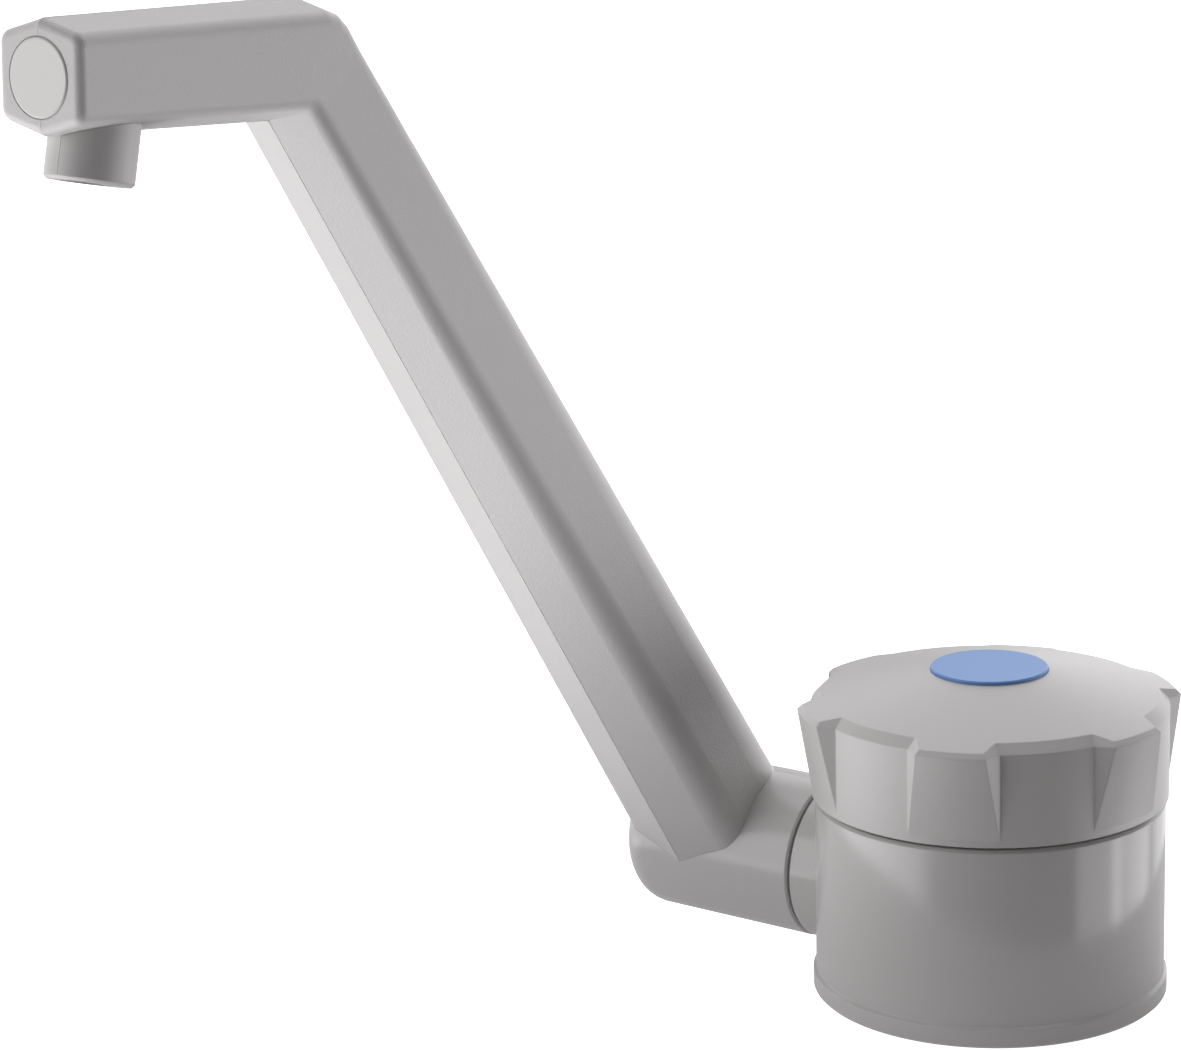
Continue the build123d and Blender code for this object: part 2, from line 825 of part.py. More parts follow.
def flow_straightener():
    """Ring with crossed blades that calms the water in the nozzle."""
    far = nozzle_drop - insert_recess
    near = far - insert_length
    radius = nozzle_bore_dia / 2 - running_fit
    part = nozzle_rod(radius, near, far) - nozzle_rod(radius - insert_wall, near, far)
    way = nozzle_way()
    middle = Plane(nozzle_root() + way * (near + far) / 2, x_dir=(1, 0, 0), z_dir=way)
    blade = Box(2 * radius - insert_wall, insert_wall, insert_length)
    for i in range(insert_blades):
        part += middle * (Rot(0, 0, 180 / insert_blades * i) * blade)
    return part


def retaining_screw():
    """Set screw whose thin tip runs in the journal's arc slot."""
    outer = barrel_dia / 2 - retaining_head_recess
    shoulder = journal_bore_radius + body_gap
    tip = journal_dia / 2 - slot_depth + body_gap
    base = Plane((-slot_offset, tip, pivot_height), x_dir=(1, 0, 0), z_dir=(0, 1, 0))
    body = Plane((-slot_offset, shoulder, pivot_height), x_dir=(1, 0, 0), z_dir=(0, 1, 0))
    part = extrude(base * Circle(retaining_tip_dia / 2), outer - tip)
    return part + extrude(body * Circle(retaining_screw_dia / 2 - running_fit), outer - shoulder)


NODES = [
    base_housing,
    foot_seal,
    base_plate,
    plate_screws,
    valve_body,
    bonnet,
    bonnet_o_ring,
    pivot_tube,
    pivot_o_rings,
    thrust_washer,
    spindle,
    spindle_o_rings,
    spindle_clip,
    knob,
    cold_disc,
    knob_screw,
    jumper,
    jumper_washer,
    jumper_screw,
    spout_arm,
    end_plug,
    nozzle,
    flow_straightener,
    retaining_screw,
]

os.makedirs("parts", exist_ok=True)
for make in NODES:
    export_step(make(), os.path.join("parts", make.__name__ + ".step"))
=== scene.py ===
import bpy
import json
import math
from mathutils import Matrix, Vector
from mathutils.bvhtree import BVHTree


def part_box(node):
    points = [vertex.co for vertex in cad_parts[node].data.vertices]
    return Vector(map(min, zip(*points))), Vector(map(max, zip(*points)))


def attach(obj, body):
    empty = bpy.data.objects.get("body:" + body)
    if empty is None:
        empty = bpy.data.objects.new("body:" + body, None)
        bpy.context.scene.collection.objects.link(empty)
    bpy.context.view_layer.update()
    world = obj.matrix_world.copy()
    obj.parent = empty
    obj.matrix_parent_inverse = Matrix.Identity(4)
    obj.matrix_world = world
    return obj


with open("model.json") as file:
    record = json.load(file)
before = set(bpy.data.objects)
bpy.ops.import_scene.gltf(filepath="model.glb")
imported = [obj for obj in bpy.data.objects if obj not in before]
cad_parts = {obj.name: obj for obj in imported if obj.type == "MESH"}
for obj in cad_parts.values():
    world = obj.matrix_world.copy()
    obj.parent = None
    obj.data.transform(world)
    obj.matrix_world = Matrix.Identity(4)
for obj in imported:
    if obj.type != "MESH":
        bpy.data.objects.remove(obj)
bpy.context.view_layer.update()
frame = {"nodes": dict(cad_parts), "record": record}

nodes = frame["nodes"]

# photograph's viewpoint: where the camera stands, and how it is turned, in degrees
camera = {
    "place": (0.2445, -0.4131, 0.1884),
    "heading": 127.32,     # from +X, seen from above
    "dip": 13.96,          # below level
    "roll": -1.61,
    "lens": 106.7,         # mm, as is the sensor's width
    "sensor": 36.0,
    "nearest": 0.01,
    "farthest": 50.0,
}


def placeObject(name, data):
    obj = bpy.data.objects.new(name, data)
    bpy.context.scene.collection.objects.link(obj)
    return obj


def makeCamera():
    data = bpy.data.cameras.new("tapCamera")
    data.lens = camera["lens"]
    data.sensor_width = camera["sensor"]
    data.clip_start = camera["nearest"]
    data.clip_end = camera["farthest"]
    turn = Matrix.Rotation(math.radians(camera["heading"] - 90), 4, "Z")
    tip = Matrix.Rotation(math.radians(90 - camera["dip"]), 4, "X")
    lean = Matrix.Rotation(math.radians(camera["roll"]), 4, "Z")
    obj = placeObject("tapCamera", data)
    obj.matrix_world = Matrix.Translation(camera["place"]) @ turn @ tip @ lean
    bpy.context.scene.camera = obj


makeCamera()
print("camera in place")

studio = {
    "front": -52.7,        # heading of the tent's opening, in degrees from +X
    "floorSize": 6.0,
    "floorHeight": -0.0001,
    "floorGlow": 1.0,
    "tentGlow": 0.0,       # even light between the panels
    "panelCore": 0.65,     # share of a panel that is at full strength
    "shadeRadius": 0.080,  # dim patch of table that the tap itself shades
    "shadeHeight": -0.0002,
    "shadeSides": 48,
    "shadeGlow": 0.35,
    "shadeCentre": (-0.018, 0.0),
}
tentPanels = {
    # bright parts of the light tent: turn from its opening, rise, half width, strength
    "leftFront": (-62, 16, 28, 1.6),
    "leftWall": (-100, 5, 42, 0.7),
    "leftBack": (-142, 8, 36, 0.7),
    "backWall": (180, 8, 42, 0.4),
    "rightBack": (144, 4, 34, 1.3),
    "rightWall": (112, 8, 42, 0.4),
    "rightStrip": (70, -14, 22, 1.8),
    "leftRoof": (-95, 52, 42, 0.1),
    "rightRoof": (95, 52, 42, 0.25),
    "backRoof": (180, 52, 42, 1.1),
    "roof": (0, 90, 40, 0.7),
    "leftTable": (-84, -42, 44, 3.0),
    "rightTable": (100, -14, 24, 2.2),
    "underTable": (0, -90, 42, 0.6),
}


def addNode(tree, kind, **settings):
    node = tree.nodes.new(kind)
    for key, value in settings.items():
        label = key.replace("_", " ")
        if label in node.inputs:
            node.inputs[label].default_value = value
        else:
            setattr(node, key, value)
    return node


def heading(turn, rise):
    flat = math.radians(studio["front"] + turn)
    steep = math.radians(rise)
    return (math.cos(flat) * math.cos(steep), math.sin(flat) * math.cos(steep), math.sin(steep))


def makeGlow(name, tone, strength, sheen):
    # matt sheet that gives off its own light
    mat = bpy.data.materials.new(name)
    mat.use_nodes = True
    shader = mat.node_tree.nodes["Principled BSDF"]
    shader.inputs["Base Color"].default_value = (tone, tone, tone, 1)
    shader.inputs["Roughness"].default_value = 0.9
    shader.inputs["Specular IOR Level"].default_value = sheen
    shader.inputs["Emission Color"].default_value = (1, 1, 1, 1)
    shader.inputs["Emission Strength"].default_value = strength
    return mat


def makeSheet(name, corners, height, mat):
    mesh = bpy.data.meshes.new(name)
    mesh.from_pydata([(x, y, height) for x, y in corners], [], [tuple(range(len(corners)))])
    mesh.materials.append(mat)
    sheet = placeObject(name, mesh)
    return sheet


def makeFloor():
    # pale floor that the camera sees, lit from below like a light table
    mat = makeGlow("paleFloor", 0.9, studio["floorGlow"], 0.0)
    size = studio["floorSize"]
    corners = [(-size, -size), (size, -size), (size, size), (-size, size)]
    floor = makeSheet("studioFloor", corners, studio["floorHeight"], mat)
    floor.visible_diffuse = False
    floor.visible_glossy = False
    floor.visible_transmission = False
    floor.visible_shadow = False


def makeShade():
    # dark sheet, unseen by the camera and giving off a dim glow, put where the tap shades the table:
    # painted shade that keeps the light from below off the foot and the elbow, as the table does
    mat = makeGlow("shadedTable", 0.25, studio["shadeGlow"], 0.5)
    x, y = studio["shadeCentre"]
    reach, sides = studio["shadeRadius"], studio["shadeSides"]
    turns = [math.tau * i / sides for i in range(sides)]
    rim = [(x + reach * math.cos(a), y + reach * math.sin(a)) for a in turns]
    shade = makeSheet("tableShade", rim, studio["shadeHeight"], mat)
    shade.visible_camera = False


def makeTent():
    world = bpy.data.worlds.new("lightTent")
    bpy.context.scene.world = world
    world.use_nodes = True
    tree = world.node_tree
    links = tree.links
    glow = tree.nodes["Background"]
    glow.inputs["Color"].default_value = (1, 1, 1, 1)
    where = addNode(tree, "ShaderNodeTexCoord")
    total = addNode(tree, "ShaderNodeValue")
    total.outputs[0].default_value = studio["tentGlow"]
    for turn, rise, width, strength in tentPanels.values():
        near = addNode(tree, "ShaderNodeVectorMath", operation="DOT_PRODUCT")
        near.inputs[1].default_value = heading(turn, rise)
        panel = addNode(tree, "ShaderNodeMapRange", interpolation_type="SMOOTHSTEP")
        panel.inputs["From Min"].default_value = math.cos(math.radians(width))
        panel.inputs["From Max"].default_value = math.cos(math.radians(width * studio["panelCore"]))
        panel.inputs["To Max"].default_value = strength
        both = addNode(tree, "ShaderNodeMath", operation="ADD")
        links.new(where.outputs["Generated"], near.inputs[0])
        links.new(near.outputs["Value"], panel.inputs["Value"])
        links.new(total.outputs[0], both.inputs[0])
        links.new(panel.outputs["Result"], both.inputs[1])
        total = both
    links.new(total.outputs[0], glow.inputs["Strength"])


makeFloor()
makeShade()
makeTent()
view = bpy.context.scene.view_settings
view.view_transform = "Standard"
view.look = "None"
print("studio lit")


def newGroup(name, inputs, outputs):
    tree = bpy.data.node_groups.new(name, "ShaderNodeTree")
    for label, kind, value in inputs:
        socket = tree.interface.new_socket(label, in_out="INPUT", socket_type=kind)
        socket.default_value = value
    for label, kind in outputs:
        tree.interface.new_socket(label, in_out="OUTPUT", socket_type=kind)
    return tree, addNode(tree, "NodeGroupInput"), addNode(tree, "NodeGroupOutput")


def makeMouldedTone():
    # slow drift of tone and gloss over a moulding, and a few dark specks in the plastic
    tree, start, end = newGroup(
        "mouldedTone",
        [
            ("Color", "NodeSocketColor", (0.6, 0.6, 0.6, 1)),
            ("Scale", "NodeSocketFloat", 30.0),
            ("Drift", "NodeSocketFloat", 0.05),
            ("Roughness", "NodeSocketFloat", 0.35),
            ("Gloss Drift", "NodeSocketFloat", 0.05),
            ("Speck Scale", "NodeSocketFloat", 60.0),
            ("Speck Size", "NodeSocketFloat", 0.012),
        ],
        [("Color", "NodeSocketColor"), ("Roughness", "NodeSocketFloat")],
    )
    links = tree.links
    where = addNode(tree, "ShaderNodeTexCoord")
    cloud = addNode(tree, "ShaderNodeTexNoise", Detail=3.0, Roughness=0.55)
    links.new(where.outputs["Object"], cloud.inputs["Vector"])
    links.new(start.outputs["Scale"], cloud.inputs["Scale"])
    centred = addNode(tree, "ShaderNodeMath", operation="SUBTRACT")
    centred.inputs[1].default_value = 0.5
    links.new(cloud.outputs["Fac"], centred.inputs[0])
    tone = addNode(tree, "ShaderNodeMath", operation="MULTIPLY_ADD")
    tone.inputs[2].default_value = 1.0
    links.new(centred.outputs[0], tone.inputs[0])
    links.new(start.outputs["Drift"], tone.inputs[1])
    tint = addNode(tree, "ShaderNodeVectorMath", operation="SCALE")
    links.new(start.outputs["Color"], tint.inputs[0])
    links.new(tone.outputs[0], tint.inputs["Scale"])

    dots = addNode(tree, "ShaderNodeTexVoronoi", feature="F1")
    links.new(where.outputs["Object"], dots.inputs["Vector"])
    links.new(start.outputs["Speck Scale"], dots.inputs["Scale"])
    dark = addNode(tree, "ShaderNodeMath", operation="LESS_THAN")
    links.new(dots.outputs["Distance"], dark.inputs[0])
    links.new(start.outputs["Speck Size"], dark.inputs[1])
    spotted = addNode(tree, "ShaderNodeMix", data_type="RGBA")
    spotted.inputs["B"].default_value = (0.09, 0.08, 0.07, 1)
    links.new(dark.outputs[0], spotted.inputs["Factor"])
    links.new(tint.outputs[0], spotted.inputs["A"])
    links.new(spotted.outputs["Result"], end.inputs["Color"])

    gloss = addNode(tree, "ShaderNodeMath", operation="MULTIPLY_ADD")
    links.new(centred.outputs[0], gloss.inputs[0])
    links.new(start.outputs["Gloss Drift"], gloss.inputs[1])
    links.new(start.outputs["Roughness"], gloss.inputs[2])
    links.new(gloss.outputs[0], end.inputs["Roughness"])
    return tree


def makeSparkGrain():
    # fine grain of a spark-eroded mould
    tree, start, end = newGroup(
        "sparkGrain",
        [("Scale", "NodeSocketFloat", 2500.0), ("Depth", "NodeSocketFloat", 1.0)],
        [("Height", "NodeSocketFloat")],
    )
    links = tree.links
    where = addNode(tree, "ShaderNodeTexCoord")
    grain = addNode(tree, "ShaderNodeTexNoise", Detail=4.0, Roughness=0.6)
    pits = addNode(tree, "ShaderNodeTexVoronoi", feature="SMOOTH_F1")
    for texture in (grain, pits):
        links.new(where.outputs["Object"], texture.inputs["Vector"])
        links.new(start.outputs["Scale"], texture.inputs["Scale"])
    both = addNode(tree, "ShaderNodeMath", operation="ADD")
    links.new(grain.outputs["Fac"], both.inputs[0])
    links.new(pits.outputs["Distance"], both.inputs[1])
    deep = addNode(tree, "ShaderNodeMath", operation="MULTIPLY")
    links.new(both.outputs[0], deep.inputs[0])
    links.new(start.outputs["Depth"], deep.inputs[1])
    links.new(deep.outputs[0], end.inputs["Height"])
    return tree


cornerMask = {"flat": 0.995, "turned": 0.8}  # cosine between a face and its softened normal


def makeSoftEdge():
    # small round on a moulding's sharp corners, and a mask of where they are, used to paint a highlight
    # along them
    tree, start, end = newGroup(
        "softEdge",
        [("Radius", "NodeSocketFloat", 0.0004)],
        [("Normal", "NodeSocketVector"), ("Edge", "NodeSocketFloat")],
    )
    links = tree.links
    soft = addNode(tree, "ShaderNodeBevel", samples=4)
    links.new(start.outputs["Radius"], soft.inputs["Radius"])
    face = addNode(tree, "ShaderNodeNewGeometry")
    same = addNode(tree, "ShaderNodeVectorMath", operation="DOT_PRODUCT")
    links.new(soft.outputs["Normal"], same.inputs[0])
    links.new(face.outputs["Normal"], same.inputs[1])
    mask = addNode(tree, "ShaderNodeMapRange", clamp=True)
    mask.inputs["From Min"].default_value = cornerMask["flat"]
    mask.inputs["From Max"].default_value = cornerMask["turned"]
    links.new(same.outputs["Value"], mask.inputs["Value"])
    links.new(soft.outputs["Normal"], end.inputs["Normal"])
    links.new(mask.outputs["Result"], end.inputs["Edge"])
    return tree


def measureFromAxis(tree, start):
    # each point's offset from the group's centre, and how far it lies from the axis
    links = tree.links
    where = addNode(tree, "ShaderNodeTexCoord")
    offset = addNode(tree, "ShaderNodeVectorMath", operation="SUBTRACT")
    links.new(where.outputs["Object"], offset.inputs[0])
    links.new(start.outputs["Centre"], offset.inputs[1])
    outward = addNode(tree, "ShaderNodeVectorMath", operation="CROSS_PRODUCT")
    links.new(offset.outputs[0], outward.inputs[0])
    links.new(start.outputs["Axis"], outward.inputs[1])
    radius = addNode(tree, "ShaderNodeVectorMath", operation="LENGTH")
    links.new(outward.outputs[0], radius.inputs[0])
    return offset, radius


def makeTurnedMarks():
    # rings left by a lathe tool, along the axis on a shaft and outwards on a face
    tree, start, end = newGroup(
        "turnedMarks",
        [
            ("Centre", "NodeSocketVector", (0, 0, 0)),
            ("Axis", "NodeSocketVector", (0, 0, 1)),
            ("Scale", "NodeSocketFloat", 4000.0),
        ],
        [("Height", "NodeSocketFloat")],
    )
    links = tree.links
    offset, radius = measureFromAxis(tree, start)
    reach = addNode(tree, "ShaderNodeVectorMath", operation="DOT_PRODUCT")
    links.new(offset.outputs[0], reach.inputs[0])
    links.new(start.outputs["Axis"], reach.inputs[1])
    travel = addNode(tree, "ShaderNodeMath", operation="ADD")
    links.new(reach.outputs["Value"], travel.inputs[0])
    links.new(radius.outputs["Value"], travel.inputs[1])
    rings = addNode(tree, "ShaderNodeTexNoise", noise_dimensions="1D", Detail=3.0)
    links.new(travel.outputs[0], rings.inputs["W"])
    links.new(start.outputs["Scale"], rings.inputs["Scale"])
    links.new(rings.outputs["Fac"], end.inputs["Height"])
    return tree


def makeAxisMask():
    # 1 within a distance of an axis, 0 beyond it
    tree, start, end = newGroup(
        "axisMask",
        [
            ("Centre", "NodeSocketVector", (0, 0, 0)),
            ("Axis", "NodeSocketVector", (1, 0, 0)),
            ("Radius", "NodeSocketFloat", 0.01),
            ("Blend", "NodeSocketFloat", 0.0003),
        ],
        [("Mask", "NodeSocketFloat")],
    )
    links = tree.links
    radius = measureFromAxis(tree, start)[1]
    outer = addNode(tree, "ShaderNodeMath", operation="ADD")
    links.new(start.outputs["Radius"], outer.inputs[0])
    links.new(start.outputs["Blend"], outer.inputs[1])
    mask = addNode(tree, "ShaderNodeMapRange", interpolation_type="SMOOTHSTEP")
    links.new(radius.outputs["Value"], mask.inputs["Value"])
    links.new(outer.outputs[0], mask.inputs["From Min"])
    links.new(start.outputs["Radius"], mask.inputs["From Max"])
    links.new(mask.outputs["Result"], end.inputs["Mask"])
    return tree


mouldedTone = makeMouldedTone()
sparkGrain = makeSparkGrain()
softEdge = makeSoftEdge()
turnedMarks = makeTurnedMarks()
axisMask = makeAxisMask()


def useGroup(tree, group, **values):
    node = addNode(tree, "ShaderNodeGroup")
    node.node_tree = group
    for key, value in values.items():
        node.inputs[key.replace("_", " ")].default_value = value
    return node


relief = {"grain": 0.00005, "lathe": 0.00002}  # full height of a bump, in metres


def startMaterial(name, look):
    mat = bpy.data.materials.new(name)
    mat.use_nodes = True
    shader = mat.node_tree.nodes["Principled BSDF"]
    shader.inputs["IOR"].default_value = 1.49
    shader.inputs["Metallic"].default_value = look.get("metal", 0.0)
    tone = useGroup(
        mat.node_tree, mouldedTone, Color=(*look["color"], 1), Roughness=look["roughness"],
        Gloss_Drift=look.get("glossDrift", 0.08), Speck_Size=look.get("speck", 0.0),
    )
    return mat, mat.node_tree, shader, tone


def makePlastic(name, look):
    mat, tree, shader, tone = startMaterial(name, look)
    links = tree.links
    edge = useGroup(tree, softEdge, Radius=look.get("edge", 0.0003))
    grain = useGroup(tree, sparkGrain, Scale=look.get("grainScale", 2500.0), Depth=look.get("grain", 0.2))
    bump = addNode(tree, "ShaderNodeBump", Strength=look.get("bump", 0.3), Distance=relief["grain"])
    # colour made lighter along the sharp corners by the look's rim factor: a painted highlight where the
    # small rounds catch the light
    pale = addNode(tree, "ShaderNodeMix", data_type="RGBA")
    pale.inputs["B"].default_value = (*[channel * look.get("rim", 1.0) for channel in look["color"]], 1)
    links.new(edge.outputs["Edge"], pale.inputs["Factor"])
    links.new(tone.outputs["Color"], pale.inputs["A"])
    links.new(pale.outputs["Result"], shader.inputs["Base Color"])
    links.new(tone.outputs["Roughness"], shader.inputs["Roughness"])
    links.new(grain.outputs["Height"], bump.inputs["Height"])
    links.new(edge.outputs["Normal"], bump.inputs["Normal"])
    links.new(bump.outputs["Normal"], shader.inputs["Normal"])
    return mat


def makeMetal(name, look):
    mat, tree, shader, tone = startMaterial(name, look)
    links = tree.links
    marks = useGroup(tree, turnedMarks, Centre=look["centre"], Axis=look["axis"])
    bump = addNode(tree, "ShaderNodeBump", Strength=look.get("bump", 0.25), Distance=relief["lathe"])
    links.new(tone.outputs["Color"], shader.inputs["Base Color"])
    links.new(tone.outputs["Roughness"], shader.inputs["Roughness"])
    links.new(marks.outputs["Height"], bump.inputs["Height"])
    links.new(bump.outputs["Normal"], shader.inputs["Normal"])
    return mat


# rim: how much lighter the colour is along sharp corners, a painted highlight; used on the housing and the
# knob
plastics = {
    "housingPlastic": {"color": (0.505, 0.488, 0.488), "roughness": 0.13, "glossDrift": 0.02,
                       "grain": 0.15, "bump": 0.05, "rim": 1.2},
    "knobPlastic": {"color": (0.505, 0.488, 0.488), "roughness": 0.36, "glossDrift": 0.03,
                    "bump": 0.08, "rim": 1.3, "speck": 0.01},
    "armPlastic": {"color": (0.505, 0.488, 0.491), "roughness": 0.42, "grain": 1.0, "bump": 0.5,
                   "grainScale": 3600.0, "edge": 0.00025, "speck": 0.01},
    "plugPlastic": {"color": (0.60, 0.59, 0.585), "roughness": 0.5, "grain": 0.5, "bump": 0.2},
    "nozzlePlastic": {"color": (0.47, 0.455, 0.455), "roughness": 0.42, "grain": 0.4, "bump": 0.2},
    "insertPlastic": {"color": (0.75, 0.75, 0.75), "roughness": 0.4},
    "bluePlastic": {"color": (0.14, 0.30, 0.66), "roughness": 0.4, "edge": 0.0001},
    "platePlastic": {"color": (0.36, 0.35, 0.34), "roughness": 0.5},
    "washerPlastic": {"color": (0.12, 0.12, 0.12), "roughness": 0.55},
    "sealRubber": {"color": (0.02, 0.02, 0.02), "roughness": 0.7},
    # lighter than the arm's plastic: a painted highlight along the parting-line bead
    "seamHighlightPlastic": {"color": (0.64, 0.63, 0.62), "roughness": 0.45, "grain": 0.0, "edge": 0.00001},
}
turned = {
    "uprightBrass": {"color": (0.74, 0.53, 0.24), "roughness": 0.3, "metal": 1.0, "axis": (0, 0, 1)},
    "crossBrass": {"color": (0.74, 0.53, 0.24), "roughness": 0.3, "metal": 1.0, "axis": (1, 0, 0)},
    "uprightSteel": {"color": (0.56, 0.56, 0.55), "roughness": 0.32, "metal": 1.0, "axis": (0, 0, 1)},
    "crossSteel": {"color": (0.56, 0.56, 0.55), "roughness": 0.32, "metal": 1.0, "axis": (0, 1, 0)},
}
tubeLow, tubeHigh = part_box("pivot_tube")
screwLow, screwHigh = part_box("retaining_screw")
tubeCentre = (tubeLow + tubeHigh) / 2
turned["crossBrass"]["centre"] = tubeCentre
turned["crossSteel"]["centre"] = (screwLow + screwHigh) / 2
made = {name: makePlastic(name, look) for name, look in plastics.items()}
for name, look in turned.items():
    look.setdefault("centre", (0, 0, 0))
    made[name] = makeMetal(name, look)


elbow = {"radius": 0.01180, "blend": 0.0004, "roughness": 0.2, "level": 0.5}


def smoothElbow(mat):
    # the elbow's barrel comes from a polished part of the mould
    tree = mat.node_tree
    links = tree.links
    barrel = useGroup(tree, axisMask, Centre=tubeCentre, Radius=elbow["radius"], Blend=elbow["blend"])
    shader = tree.nodes["Principled BSDF"]
    matte = shader.inputs["Roughness"].links[0].from_socket
    gloss = addNode(tree, "ShaderNodeMix", data_type="FLOAT", B=elbow["roughness"])
    links.new(barrel.outputs["Mask"], gloss.inputs["Factor"])
    links.new(matte, gloss.inputs["A"])
    links.new(gloss.outputs["Result"], shader.inputs["Roughness"])
    bump = shader.inputs["Normal"].links[0].from_node
    rough = bump.inputs["Height"].links[0].from_socket
    level = addNode(tree, "ShaderNodeMix", data_type="FLOAT", B=elbow["level"])
    links.new(barrel.outputs["Mask"], level.inputs["Factor"])
    links.new(rough, level.inputs["A"])
    links.new(level.outputs["Result"], bump.inputs["Height"])


smoothElbow(made["armPlastic"])


def dress(node, mat):
    slots = nodes[node].data.materials
    if not slots:
        slots.append(mat)
    for i in range(len(slots)):
        slots[i] = mat


wears = {
    "base_housing": "housingPlastic", "knob": "knobPlastic", "spout_arm": "armPlastic",
    "end_plug": "plugPlastic", "nozzle": "nozzlePlastic", "flow_straightener": "insertPlastic",
    "cold_disc": "bluePlastic", "base_plate": "platePlastic", "thrust_washer": "washerPlastic",
    "foot_seal": "sealRubber", "bonnet_o_ring": "sealRubber", "pivot_o_rings": "sealRubber",
    "spindle_o_rings": "sealRubber", "jumper_washer": "sealRubber", "valve_body": "uprightBrass",
    "bonnet": "uprightBrass", "spindle": "uprightBrass", "jumper": "uprightBrass",
    "pivot_tube": "crossBrass", "plate_screws": "uprightSteel", "knob_screw": "uprightSteel",
    "spindle_clip": "uprightSteel", "jumper_screw": "uprightSteel", "retaining_screw": "crossSteel",
}
for node, look in wears.items():
    dress(node, made[look])
print("pieces dressed")

# parting line: where the arm's two mould halves met, in the plane through its middle,
# in metres and degrees
armJoint = next(j for j in frame["record"]["behaviour"]["joints"] if j["name"] == "arm_fold")
armShape = {
    "pivot": Vector(armJoint["pos_m"]),
    "rise": 54.6,
    "length": 0.1562,
    "spoutRise": 3.0,
    "spoutLength": 0.0422,
    "halfDepth": 0.00675,
    "endRound": 0.0011,
    "nozzleBack": 0.010,
    "nozzleDrop": 0.0129,
    "nozzleTilt": 10.8,
}
seam = {
    "reach": 0.03,          # how far off each feeler starts
    "offCentre": 0.00001,   # keeps the feelers off the edges in the arm's middle plane
    "sunk": 0.00004,
    "radius": 0.00009,
    "sides": 6,
    "ripple": 0.35,
    "waver": 900.0,
    "seed": 3.0,
    "step": 0.0005,
    "bendSteps": 12,
    "endFan": (0, 22, 45, 68, 90),
    "rootGap": 0.0064,      # from the pivot to where the arm leaves the elbow's barrel
    "innerCorner": 0.0037,
    "plugEdge": 0.00495,
    "nozzleEdge": 0.0056,
    "nozzleTop": 0.0012,    # gaps that the nozzle's line leaves at its two ends
    "nozzleFoot": 0.0005,
}


def inPlane(degrees):
    # direction in the arm's plane, counted up from level
    angle = math.radians(degrees)
    return Vector((0, -math.cos(angle), math.sin(angle)))


def surfaceOf(node):
    mesh = nodes[node].data
    return BVHTree.FromPolygons([v.co for v in mesh.vertices], [tuple(f.vertices) for f in mesh.polygons])


def touch(surface, target, way):
    # point just under the surface, felt from outside towards the target
    hit = surface.ray_cast(target + way * seam["reach"], -way)[0]
    return hit - way * seam["sunk"]


def armSeams():
    surface = surfaceOf("spout_arm")
    shape = armShape
    pivot = shape["pivot"] + Vector((seam["offCentre"], 0, 0))
    arm, armUp = inPlane(shape["rise"]), inPlane(shape["rise"] + 90)
    spout, spoutUp = inPlane(shape["spoutRise"]), inPlane(shape["spoutRise"] + 90)
    bend = pivot + arm * shape["length"]
    end = bend + spout * shape["spoutLength"]
    nozzleAt = shape["spoutLength"] - shape["nozzleBack"]
    rounded = shape["halfDepth"] - shape["endRound"]

    def overEnd(side):
        face = touch(surface, end + spoutUp * side * seam["plugEdge"], spout)
        centre = end - spout * shape["endRound"] + spoutUp * side * rounded
        fan = [math.radians(turn) for turn in seam["endFan"]]
        ways = [spout * math.cos(a) + spoutUp * side * math.sin(a) for a in fan]
        return [face] + [touch(surface, centre, way) for way in ways]

    inner = shape["length"] - seam["innerCorner"]
    below = [touch(surface, pivot + arm * t, -armUp) for t in (seam["rootGap"], inner / 2, inner)]
    below += [
        touch(surface, bend + spout * t, -spoutUp)
        for t in (seam["innerCorner"], nozzleAt - seam["nozzleEdge"])
    ]
    tip = [touch(surface, bend + spout * (nozzleAt + seam["nozzleEdge"]), -spoutUp)]
    steps = seam["bendSteps"]
    bending = (shape["rise"] - shape["spoutRise"]) / steps
    above = [touch(surface, bend, inPlane(shape["spoutRise"] + 90 + bending * i)) for i in range(steps + 1)]
    above += [touch(surface, pivot + arm * t, armUp) for t in (inner / 2, seam["rootGap"])]
    return [below, tip + overEnd(-1)[::-1], overEnd(1) + above]


def nozzleSeams():
    surface = surfaceOf("nozzle")
    shape = armShape
    spout, spoutUp = inPlane(shape["spoutRise"]), inPlane(shape["spoutRise"] + 90)
    end = shape["pivot"] + inPlane(shape["rise"]) * shape["length"] + spout * shape["spoutLength"]
    tilt = math.radians(shape["nozzleTilt"])
    down = spout * math.sin(tilt) - spoutUp * math.cos(tilt)
    front = spout * math.cos(tilt) + spoutUp * math.sin(tilt)
    root = end - spout * shape["nozzleBack"] + Vector((seam["offCentre"], 0, 0))
    top, foot = shape["halfDepth"] + seam["nozzleTop"], shape["nozzleDrop"] - seam["nozzleFoot"]
    return [[touch(surface, root + down * t, front) for t in (top, foot)]]


def newGrowth(name, labels):
    # node tree that takes a mesh, the named sizes and a material
    tree = bpy.data.node_groups.new(name, "GeometryNodeTree")
    face = tree.interface
    face.new_socket("Geometry", in_out="INPUT", socket_type="NodeSocketGeometry")
    for label in labels:
        face.new_socket(label, in_out="INPUT", socket_type="NodeSocketFloat")
    face.new_socket("Material", in_out="INPUT", socket_type="NodeSocketMaterial")
    face.new_socket("Geometry", in_out="OUTPUT", socket_type="NodeSocketGeometry")
    return tree, addNode(tree, "NodeGroupInput"), addNode(tree, "NodeGroupOutput")


def endGrowth(tree, grown, start, end):
    # real geometry in the material that was handed in
    links = tree.links
    real = addNode(tree, "GeometryNodeRealizeInstances")
    paint = addNode(tree, "GeometryNodeSetMaterial")
    links.new(grown, real.inputs["Geometry"])
    links.new(real.outputs["Geometry"], paint.inputs["Geometry"])
    links.new(start.outputs["Material"], paint.inputs["Material"])
    links.new(paint.outputs["Geometry"], end.inputs["Geometry"])


